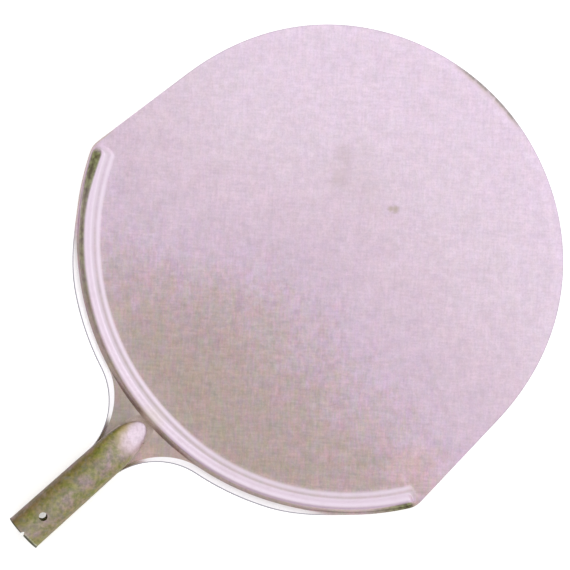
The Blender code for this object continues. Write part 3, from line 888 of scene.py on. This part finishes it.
class Finish(Nodes):
    """A Principled material whose inputs are fed by small procedural steps, in millimetres."""

    def __init__(self, name):
        self.material = bpy.data.materials.new(name)
        self.material.use_nodes = True
        super().__init__(self.material.node_tree)
        self.shader = self.nodes["Principled BSDF"]
        self.place = self.vectors("MULTIPLY", self.step("TexCoord", {}, "Object"), (1.0 / MM,) * 3)

    def along(self, value, low, high):
        """Ease a place along the peel, between places counted from the mouth."""
        return self.span(value, frame_y(low), frame_y(high))

    def times(self, *values):
        product = values[0]
        for value in values[1:]:
            product = self.math("MULTIPLY", product, value)
        return product

    def span(self, value, low, high, to_low=0.0, to_high=1.0):
        """Ease a value from one range to another."""
        inputs = {0: value, 1: low, 2: high, 3: to_low, 4: to_high}
        return self.step("MapRange", inputs, interpolation_type="SMOOTHSTEP")

    def mix(self, factor, first, second, mode="MIX"):
        inputs = {0: factor, 6: first, 7: second}
        return self.step("Mix", inputs, 2, data_type="RGBA", blend_type=mode, clamp_factor=True)

    def layer(self, colour, mask, share, over):
        """Another colour laid over, where a mask is and as far as a share says."""
        return self.mix(self.times(mask, share), colour, over)

    def tinged(self, colour, tint, share=1.0):
        return self.mix(share, colour, tint, "MULTIPLY")

    def mapped(self, turn=0.0, scale=(1.0, 1.0, 1.0), move=(0.0, 0.0, 0.0)):
        """Coordinates moved, turned about Z and stretched."""
        inputs = {"Vector": self.vectors("SUBTRACT", self.place, move), "Angle": turn}
        turned = self.step("VectorRotate", inputs, rotation_type="Z_AXIS")
        return self.vectors("MULTIPLY", turned, scale)

    def noise(self, size, detail=2.0, rough=0.5, move=(0.0, 0.0, 0.0), vector=None):
        """Noise of a feature size in millimetres, about 0.5 on average."""
        vector = vector or self.mapped(move=move)
        inputs = {"Vector": vector, "Scale": 1.0 / size, "Detail": detail, "Roughness": rough}
        return self.step("TexNoise", inputs, "Fac")

    def grain(self, angle, pitch, length, move=(0.0, 0.0, 0.0)):
        """Fine lines at an angle, from stretched noise."""
        vector = self.mapped(math.radians(angle), (1.0 / length, 1.0 / pitch, 1.0 / pitch), move)
        return self.noise(1.0, 2.0, 0.6, vector=vector)

    def crossed(self, first, second):
        return self.mix(0.5, self.grain(*first), self.grain(*second))

    def scratches(self, angle, pitch, length, share, move=(0.0, 0.0, 0.0)):
        """Sparse thin lines: the top of stretched noise."""
        lines = self.grain(angle, pitch, length, move)
        return self.span(lines, 1.0 - share, 1.0 - share + 0.05)

    def middle(self, field, low=0.0, high=1.0):
        """The well-filled middle of a noise, eased to a range."""
        return self.span(field, 0.3, 0.7, low, high)

    def either(self, field, colours):
        return self.mix(self.middle(field), *colours)

    def wander(self, field, reach):
        """Noise as a shift of up to a reach in millimetres to either side."""
        return self.math("MULTIPLY_ADD", field, 2.0 * reach, -reach)

    def axis(self, index, vector=None):
        return self.step("SeparateXYZ", {0: vector or self.place}, index)

    def varied(self, colour, field, depth):
        """Colour made up to a depth darker and lighter by a noise."""
        swing = self.math("MULTIPLY_ADD", self.middle(field), 2.0, -1.0)
        return self.tinged(colour, self.math("MULTIPLY_ADD", swing, depth, 1.0))

    def spot(self, across, along, radius, wobble):
        """Soft round patch on the sheet, with an edge that wobbles by half as much each way."""
        arm = self.vectors("SUBTRACT", self.place, (across, frame_y(along), 0.0))
        distance = self.vectors("LENGTH", arm, output="Value")
        reach = self.wander(self.noise(radius * 0.8), wobble / 2)
        return self.span(self.math("ADD", distance, reach), radius, 0.2 * radius)

    def window(self, across, along):
        """Soft mask from spans across the peel and along it."""
        masks = [self.span(self.axis(0), *ends) for ends in across]
        masks += [self.along(self.axis(1), *ends) for ends in along]
        return self.times(*masks)

    def attribute(self, name):
        return self.step("Attribute", {}, "Fac", attribute_name=name)

    def normal(self, index):
        return self.axis(index, self.step("NewGeometry", {}, "Normal"))

    def bump(self, height, distance_mm, strength):
        inputs = {"Height": height, "Distance": distance_mm * MM, "Strength": strength}
        return self.step("Bump", inputs)

    def finish(self, colour, roughness, normal, metallic=1.0):
        values = (colour, roughness, normal, metallic)
        for name, value in zip(("Base Color", "Roughness", "Normal", "Metallic"), values):
            self.feed(self.shader.inputs[name], value)
        return self.material


# In the finishes, places are in millimetres: across from the middle, and along from the mouth.
# A noise is (feature size, detail, roughness, shift), a grain is (angle, pitch, length, shift).

# Blade's colour from the socket's end to the front, a tarnish that also paints the shade of the
# dimmer surroundings towards the socket; and the tube's from its left to its right, painted shade
# by the way its side faces
TARNISH_AND_SHADE = (
    (0.49, 0.40, 0.375), (0.55, 0.44, 0.455), (0.685, 0.55, 0.675),
    (0.755, 0.61, 0.725), (0.80, 0.67, 0.79), (0.835, 0.695, 0.835))
# the tube's tones are painted shade, chosen by which way its surface faces
SOCKET_SHADE_TONES = (
    (0.165, 0.125, 0.105), (0.168, 0.140, 0.047), (0.265, 0.245, 0.10), (0.308, 0.287, 0.173),
    (0.364, 0.336, 0.255), (0.365, 0.328, 0.269), (0.35, 0.302, 0.234), (0.261, 0.243, 0.126),
    (0.24, 0.225, 0.11))

# Where the tarnish and its painted shade lie, and how far they wander
TARNISH_AND_SHADE_ALONG = (168.0, 468.0)
AGED_ALONG = (350.0, 210.0)
TARNISH_AND_SHADE_DRIFTS = (((28.0, 5.0, 0.65), 42.0), ((7.0, 3.0, 0.7, (20.0, 1.0, 2.0)), 25.0))
TARNISH_AND_SHADE_LEFT = (10.0, -140.0, 0.0, 74.0)  # towards the left it ends sooner

# Texture: variation as (noise, depth on bright and on aged steel), tints with the lesser share
BLADE_GRAIN = ((45.0, 1.7, 11.0), (-45.0, 1.7, 11.0, (7.0, 3.0, 0.0)))
BLADE_GRAIN_DEPTH = (0.065, 0.105)
BLADE_VARIATION = (
    ((4.5, 4.0, 0.7, (1.0, 6.0, 13.0)), 0.05, 0.07),
    ((12.0, 2.0, 0.5, (31.0, 5.0, 2.0)), 0.018, 0.018),
    ((1.3, 2.0, 0.6, (4.0, 4.0, 9.0)), 0.035, 0.035))
STROKES = (42.0, 2.2, 13.0, (2.0, 9.0, 0.0))
STROKE_TINTS = ((1.05, 0.97, 1.05), (0.965, 1.02, 0.92))
CLOUDS = (13.0, 3.0, 0.6)
CLOUD_TINTS = ((1.03, 0.98, 1.03), (0.96, 1.0, 0.95))
TINT_SHARE = 0.22
WARMTH = (6.5, 3.0, 0.7, (9.0, 2.0, 30.0))
WARMTH_TINTS = ((1.045, 1.0, 0.95), (0.955, 1.0, 1.05))
WARMTH_SHARE = 0.3
SCRATCHES = ((20.0, 0.35, 60.0, 0.3), (-63.0, 0.35, 45.0, 0.3))
SCRATCH_COLOUR = (0.86, 0.76, 0.84)

# Patches as (colour, share, spots), each spot as (across, along, radius, wobble)
PATCHES = (
    ((0.42, 0.36, 0.21), 0.55, ((5.8, 379.4, 4.6, 2.0), (3.0, 377.0, 3.8, 2.0))),
    ((0.52, 0.41, 0.38), 0.22, ((-41.0, 364.0, 11.0, 9.0), (-54.0, 377.0, 12.0, 10.0))),
    ((0.52, 0.42, 0.40), 0.10, ((-32.0, 372.0, 36.0, 26.0),)))
BLUSH = (164.0, 256.0, 30.0, 12.0)
BLUSH_TINT = (1.09, 1.02, 0.98)
# painted shade on the web left of the socket, and painted light beside the socket on the right
LEFT_WEB_SHADE = (((0.0, -8.0),), ((130.0, 122.0),))
LEFT_WEB_SHADE_TINT = (0.88, 0.93, 0.92)
RIGHT_WEB_LIGHT = (((26.0, 19.0), (7.0, 13.0)), ((121.0, 115.0),))
RIGHT_WEB_LIGHT_TINT = (1.18, 1.11, 1.08)
# painted light on the web at the nose's foot, lifting its shade
NOSE_FOOT_LIGHT = (0.0, 129.0, 16.0, 4.0)
NOSE_FOOT_LIGHT_COLOUR = (0.72, 0.645, 0.57)

# Bead and edges
# the bead bright from rubbing, with a painted highlight on its inner flank
RUBBED_AND_LIT_PATCHES = (7.0, 3.0, 0.6)
RUBBED_AND_LIT_COLOUR = (0.86, 0.745, 0.86)
# the lip painted near white as a highlight
LIP_HIGHLIGHT_COLOUR = (0.97, 0.95, 0.97)
CREST_SHADE = (-10.0, 40.0, 0.3, 0.8)  # painted shade just outside the crest; its strength, from left to right
CREST_SHADE_COLOUR = (0.70, 0.55, 0.74)
# dirt with painted shade on the bead's outer flank
DIRT_AND_SHADE = (4.0, 2.0)
DIRT_AND_SHADE_COLOURS = ((0.135, 0.118, 0.066), (0.30, 0.32, 0.155))
TIP = (((-52.0, -30.0), (28.0, 8.0)), ((447.42, 467.42),))
TIP_PATCHES = (9.0, 3.0, 0.6, (5.0, 17.0, 0.0))
SCUFF_COLOUR = (0.58, 0.48, 0.38)
DULL_COLOUR = (0.34, 0.305, 0.29)
# painted shade on the flat left strip outside the bead
LEFT_MARGIN_SHADE = (((-60.0, -110.0),), ((262.0, 248.0),))
LEFT_MARGIN_SHADE_COLOUR = (0.60, 0.51, 0.40)
# painted shade along the sheet's cut edge
CUT_EDGE_SHADE_COLOUR = (0.27, 0.26, 0.31)
HEAT_ON_BLADE = (0.34, 0.29, 0.19)

# Tube
BLOTCHES = (10.0, 3.0, 0.6)
BLOTCH_TINTS = ((0.94, 1.015, 0.64), (1.14, 0.985, 1.29))
FLECKS = (3.6, 3.0, 0.6, (11.0, 0.0, 5.0))
FLECK_TINTS = ((1.25, 1.17, 1.20), (0.76, 0.83, 0.72))
GREYS = (5.0, 3.0, 0.6, (3.0, 8.0, 21.0))
GREY_COLOUR = (0.27, 0.255, 0.24)
SOCKET_GRAIN = ((45.0, 1.6, 9.0), (-45.0, 1.6, 9.0, (5.0, 2.0, 0.0)))
HEAT_ON_SOCKET = (0.40, 0.35, 0.22)
NOSE_HIGHLIGHT_SETBACK = (0.9, -0.35)  # of the nose's painted highlight, per side
NOSE_HIGHLIGHT_EDGE = ((7.0, 2.0, 0.5), 4.5)
# the nose's sides in paler painted light, olive on the left and pinkish on the right; its middle
# polished lighter with a painted highlight
NOSE_SIDE_LIT_COLOURS = ((0.45, 0.36, 0.12), (0.57, 0.42, 0.42))
NOSE_POLISH_AND_HIGHLIGHT_COLOUR = (0.80, 0.68, 0.77)
# bare metal with a painted highlight behind the mouth on the right
BARE_AND_LIT_PATCHES = (1.6, 2.0, 0.5, (0.0, 3.0, 7.0))
BARE_AND_LIT_COLOUR = (0.60, 0.60, 0.54)
# painted shade as a dark rim at the mouth
RIM_SHADE_COLOUR = (0.085, 0.09, 0.075)

# Welds
WELD_COLOURS = ((0.60, 0.51, 0.44), (0.68, 0.57, 0.54))
WELD_FOOT_COLOUR = (0.52, 0.43, 0.39)


def frame_y(along):
    """A place along from the mouth, as the frame's y in millimetres."""
    return along + MOUTH_Y / MM


def tarnished_and_shaded(f):
    """Blade's colour along the peel, tarnish with painted shade towards the socket, and how far
    each place has aged.
    """
    place = f.math("ADD", f.axis(1), f.span(f.axis(0), *TARNISH_AND_SHADE_LEFT))
    for drift, reach in TARNISH_AND_SHADE_DRIFTS:
        place = f.math("ADD", place, f.wander(f.noise(*drift), reach))
    colour = f.ramp(place, *(frame_y(end) for end in TARNISH_AND_SHADE_ALONG), evenly(TARNISH_AND_SHADE))
    return colour, f.along(place, *AGED_ALONG)


def textured(f, colour, aged, crossed):
    """Crossed grain, variation and tints, stronger on aged steel, and fine scratches."""
    colour = f.varied(colour, crossed, f.span(aged, 0.0, 1.0, *BLADE_GRAIN_DEPTH))
    for settings, *depths in BLADE_VARIATION:
        colour = f.varied(colour, f.noise(*settings), f.span(aged, 0.0, 1.0, *depths))
    share = f.span(aged, 0.0, 1.0, TINT_SHARE, 1.0)
    colour = f.tinged(colour, f.either(f.grain(*STROKES), STROKE_TINTS), share)
    colour = f.tinged(colour, f.either(f.noise(*CLOUDS), CLOUD_TINTS), share)
    share = f.span(aged, 0.0, 1.0, WARMTH_SHARE, 1.0)
    colour = f.tinged(colour, f.either(f.noise(*WARMTH), WARMTH_TINTS), share)
    first, second = (f.scratches(*scratches) for scratches in SCRATCHES)
    return f.layer(colour, f.math("MAXIMUM", first, second), 0.25, SCRATCH_COLOUR)


def patched(f, colour):
    """Stain and smears of the face, heat by the welds, a tint of the corner, and painted shade on
    the web left of the socket and painted light on it to the right.
    """
    for patch_colour, share, spots in PATCHES:
        patch = f.spot(*spots[0])
        for spot in spots[1:]:
            patch = f.math("MAXIMUM", patch, f.spot(*spot))
        colour = f.layer(colour, patch, share, patch_colour)
    colour = f.layer(colour, f.attribute("heat"), 0.3, HEAT_ON_BLADE)
    colour = f.tinged(colour, BLUSH_TINT, f.spot(*BLUSH))
    # painted shade on the web left of the socket
    colour = f.tinged(colour, LEFT_WEB_SHADE_TINT, f.window(*LEFT_WEB_SHADE))
    # painted light on the web right beside the socket
    return f.tinged(colour, RIGHT_WEB_LIGHT_TINT, f.window(*RIGHT_WEB_LIGHT))


def bead_rubbing_and_painted_light(f, colour):
    """Bead bright from rubbing with a painted highlight, the lip painted near white as a highlight,
    painted shade just outside the crest, painted light at the nose's foot, and dirt with painted
    shade on the flank.
    """
    worn_and_lit = f.attribute("rubbed_and_lit")
    patches = f.span(f.noise(*RUBBED_AND_LIT_PATCHES), 0.2, 0.6, 0.86, 0.98)
    # metal bright from rubbing, with a painted highlight on the bead's inner flank
    colour = f.layer(colour, worn_and_lit, patches, RUBBED_AND_LIT_COLOUR)
    # the lip painted near white as a highlight
    colour = f.mix(f.attribute("lip"), colour, LIP_HIGHLIGHT_COLOUR)
    # painted shade just outside the crest
    edge = f.times(f.span(worn_and_lit, 0.0, 0.25), f.span(worn_and_lit, 0.95, 0.5), f.attribute("flank"))
    colour = f.layer(colour, edge, f.span(f.axis(0), *CREST_SHADE), CREST_SHADE_COLOUR)
    # painted light on the web at the nose's foot, lifting its shade
    colour = f.layer(colour, f.spot(*NOSE_FOOT_LIGHT), 0.65, NOSE_FOOT_LIGHT_COLOUR)
    # dirt with painted shade on the bead's outer flank
    return f.mix(f.attribute("grime_and_shade"), colour, f.either(f.noise(*DIRT_AND_SHADE), DIRT_AND_SHADE_COLOURS))


def edge_scuffs_and_shade(f, colour):
    """Scuffed bevel at the tip, painted shade on the flat left strip outside the bead, and painted
    shade along the cut edge.
    """
    edge = f.attribute("edge")
    lip = f.attribute("lip")
    tip = f.times(f.window(*TIP), f.span(f.noise(*TIP_PATCHES), 0.3, 0.55, 0.35, 1.0))
    colour = f.layer(colour, f.times(f.span(edge, 0.05, 0.7), tip), 0.6, SCUFF_COLOUR)
    colour = f.layer(colour, f.times(f.span(edge, 0.5, 0.85), tip), 0.9, DULL_COLOUR)
    # painted shade on the flat left strip outside the bead
    margin_shade = f.times(f.window(*LEFT_MARGIN_SHADE), f.span(edge, 0.0, 0.6), f.span(lip, 0.5, 0.0))
    colour = f.layer(colour, margin_shade, 0.55, LEFT_MARGIN_SHADE_COLOUR)
    # painted shade along the sheet's cut edge, strongest on the lip
    cut = f.span(f.attribute("cut"), 0.1, 0.7)
    return f.layer(colour, cut, f.span(lip, 0.0, 1.0, 0.35, 1.0), CUT_EDGE_SHADE_COLOUR)


def blade_finish():
    """Bright steel with crossed grain, its tarnish warm towards the socket where painted shade
    darkens it too, with painted light and shade on the bead and edges.
    """
    f = Finish("brushed_blade_steel")
    colour, aged = tarnished_and_shaded(f)
    crossed = f.crossed(*BLADE_GRAIN)
    colour = textured(f, colour, aged, crossed)
    colour = edge_scuffs_and_shade(f, bead_rubbing_and_painted_light(f, patched(f, colour)))
    rough = f.middle(crossed, 0.36, 0.46)
    rough = f.math("ADD", rough, f.times(f.attribute("grime_and_shade"), 0.12))
    rough = f.math("SUBTRACT", rough, f.times(f.attribute("lip"), 0.1))
    return f.finish(colour, rough, f.bump(crossed, 0.02, 0.5))


def polished_and_lit_nose(f, colour):
    """Metal polished lighter on the nose with a painted highlight where it slopes to the front,
    reaching furthest back in the middle, between sides in paler painted light.
    """
    x = f.axis(0)
    to_left, to_right = NOSE_HIGHLIGHT_SETBACK
    setback = f.math("ADD", f.times(f.math("MINIMUM", x, 0.0), to_left),
                     f.times(f.math("MAXIMUM", x, 0.0), to_right))
    edge, edge_reach = NOSE_HIGHLIGHT_EDGE
    wander = f.wander(f.noise(*edge), edge_reach)
    reach = f.math("ADD", f.math("ADD", f.axis(1), setback), wander)
    pale = f.times(f.along(reach, 91.0, 106.0), f.span(x, -14.0, -8.0))
    # paler painted light on the nose's sides, olive on the left and pinkish on the right
    colour = f.mix(pale, colour, f.mix(f.span(x, -8.0, 8.0), *NOSE_SIDE_LIT_COLOURS))
    across = f.math("MULTIPLY_ADD", wander, 0.4, x)
    bright = f.times(f.along(reach, 92.0, 112.0), f.span(across, -12.0, -2.5),
                     f.span(across, 14.5, 5.5))
    # metal polished lighter, with a painted highlight where the nose slopes to the front
    return f.mix(bright, colour, NOSE_POLISH_AND_HIGHLIGHT_COLOUR)


def mouth_shade_and_highlight(f, colour):
    """Painted shade as a dark rim at the mouth, with a strip of bare metal under a painted
    highlight behind it on the right.
    """
    along = f.math("SUBTRACT", f.axis(1), MOUTH_Y / MM)
    on_right = f.span(f.axis(0), 0.5, 3.0)
    strip = f.times(f.span(along, 1.2, 1.8), f.span(along, 3.0, 2.2))
    patches = f.span(f.noise(*BARE_AND_LIT_PATCHES), 0.35, 0.65, 0.15, 0.6)
    # bare metal with a painted highlight in a strip behind the mouth on the right
    colour = f.layer(colour, f.times(strip, patches), on_right, BARE_AND_LIT_COLOUR)
    rim_to = f.math("MULTIPLY_ADD", on_right, 0.6, 1.1)
    rim = f.span(f.math("SUBTRACT", along, rim_to), 0.2, -0.5)
    # painted shade as a dark rim at the mouth
    return f.layer(colour, rim, 0.85, RIM_SHADE_COLOUR)


def socket_finish():
    """Dull mottled steel with painted shade by the way the tube faces, polished lighter on the nose
    with a painted highlight where it slopes to the front, and painted shade and highlight at the
    mouth.
    """
    f = Finish("mottled_socket_steel")
    # painted shade: the tube's colour by which way it faces, lightest on top, darkest on the left
    # and olive on the right
    colour = f.ramp(f.normal(0), -0.96, 0.96, evenly(SOCKET_SHADE_TONES))
    colour = f.tinged(colour, f.either(f.noise(*BLOTCHES), BLOTCH_TINTS))
    colour = f.tinged(colour, f.either(f.noise(*FLECKS), FLECK_TINTS))
    colour = f.layer(colour, f.span(f.noise(*GREYS), 0.48, 0.75), 0.5, GREY_COLOUR)
    colour = polished_and_lit_nose(f, colour)
    colour = f.layer(colour, f.attribute("heat"), 0.35, HEAT_ON_SOCKET)
    colour = mouth_shade_and_highlight(f, colour)
    colour = f.tinged(colour, f.middle(f.crossed(*SOCKET_GRAIN), 0.90, 1.08))
    rough = f.middle(f.noise(3.0, 3.0), 0.42, 0.58)
    return f.finish(colour, rough, f.bump(f.noise(1.4, 3.0, 0.6), 0.05, 0.6))


def weld_finish():
    """Rough weld metal with pale brown heat colours, darker at its foot."""
    f = Finish("heat_coloured_weld")
    colour = f.mix(f.span(f.noise(3.5, 2.0), 0.35, 0.65), *WELD_COLOURS)
    colour = f.mix(f.span(f.axis(2), 3.2, 1.3), colour, WELD_FOOT_COLOUR)
    grit = f.noise(0.5, 3.0, 0.7)
    colour = f.tinged(colour, f.middle(grit, 0.85, 1.1))
    return f.finish(colour, f.middle(grit, 0.4, 0.62), f.bump(grit, 0.05, 0.5))


def floor_finish():
    """Plain pale floor, faintly lit from within like a light table."""
    f = Finish("pale_floor")
    tone = f.span(f.noise(60.0, 2.0), 0.2, 0.8, 0.93, 0.95)
    f.shader.inputs["Emission Color"].default_value = (1.0, 1.0, 1.0, 1.0)
    f.shader.inputs["Emission Strength"].default_value = FLOOR_GLOW
    return f.finish(tone, 0.8, f.bump(f.noise(1.5), 0.02, 0.1), 0.0)


# ---- stage

WORLD_FRONT = Vector((0.2, 0.98, 0.0)).normalized()
WORLD_TONES = (
    (0.0, (0.50, 0.46, 0.43)), (0.28, (0.70, 0.67, 0.64)), (0.46, (0.98, 0.975, 0.97)),
    (0.7, (1.03, 1.02, 1.03)), (1.0, (1.03, 1.02, 1.03)))
FLOOR_GLOW = 0.45
FLOOR_RADIUS = 6.0
FLOOR_Z = -0.3 * MM
FLOOR_SIDES = 96
KEY_PLACE = (0.7, 3.1, 1.8)
KEY_TARGET = (0.0, 0.05, 0.0)
KEY_SIZE = 2.4
KEY_POWER = 4.0
KEY_COLOUR = (1.0, 0.99, 1.0)


def make_floor():
    bm = bmesh.new()
    bmesh.ops.create_circle(bm, cap_ends=True, segments=FLOOR_SIDES, radius=FLOOR_RADIUS)
    bmesh.ops.translate(bm, verts=bm.verts, vec=(0.0, 0.0, FLOOR_Z))
    floor = linked("floor", to_mesh(bm, "floor"))
    floor.data.materials.append(floor_finish())


def make_camera():
    data = bpy.data.cameras.new("camera")
    data.sensor_width = SENSOR
    data.lens = SENSOR * CAMERA_HEIGHT / CAMERA_FIELD
    data.clip_end = CAMERA_REACH
    camera = linked("camera", data)
    camera.location = CAMERA_CENTRE + Vector((0.0, 0.0, CAMERA_HEIGHT))
    camera.rotation_euler = (0.0, 0.0, CAMERA_TURN)
    bpy.context.scene.camera = camera


def make_light():
    data = bpy.data.lights.new("key", "AREA")
    data.shape = "DISK"
    data.size = KEY_SIZE
    data.energy = KEY_POWER
    data.color = KEY_COLOUR
    light = linked("key", data)
    aim = Vector(KEY_TARGET) - Vector(KEY_PLACE)
    light.location = KEY_PLACE
    light.rotation_euler = aim.to_track_quat("-Z", "Y").to_euler()
    light.visible_camera = False


def make_world():
    """Soft surround: bright overhead and to the front, dim towards the socket's end."""
    world = bpy.data.worlds.new("studio")
    world.use_nodes = True
    w = Nodes(world.node_tree)
    direction = w.step("TexCoord", {}, "Generated")
    facing = w.vectors("DOT_PRODUCT", direction, WORLD_FRONT, "Value")
    w.feed(w.nodes["Background"].inputs["Color"], w.ramp(facing, -1.0, 1.0, WORLD_TONES))
    bpy.context.scene.world = world


# ---- build

def add_piece(piece, node, material):
    piece.data.materials.clear()
    piece.data.materials.append(material)
    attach(piece, "root")
    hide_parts(node)


bpy.context.scene.view_settings.view_transform = "Standard"
make_camera()
make_world()
make_light()
make_floor()

routes = {"weld_nose": nose_route(), "weld_left": side_route(-1.0), "weld_right": side_route(1.0)}
weld_spots = [spot for route in routes.values() for spot in route]
blade = make_blade()
mark_heat(blade, weld_spots)
add_piece(blade, "blade", blade_finish())
socket = make_socket()
mark_heat(socket, weld_spots)
add_piece(socket, "socket", socket_finish())
weld_steel = weld_finish()
for count, (node, route) in enumerate(routes.items()):
    weld = make_weld(node + "_run", route, count * WELD_SEED_STEP)
    add_piece(weld, node, weld_steel)
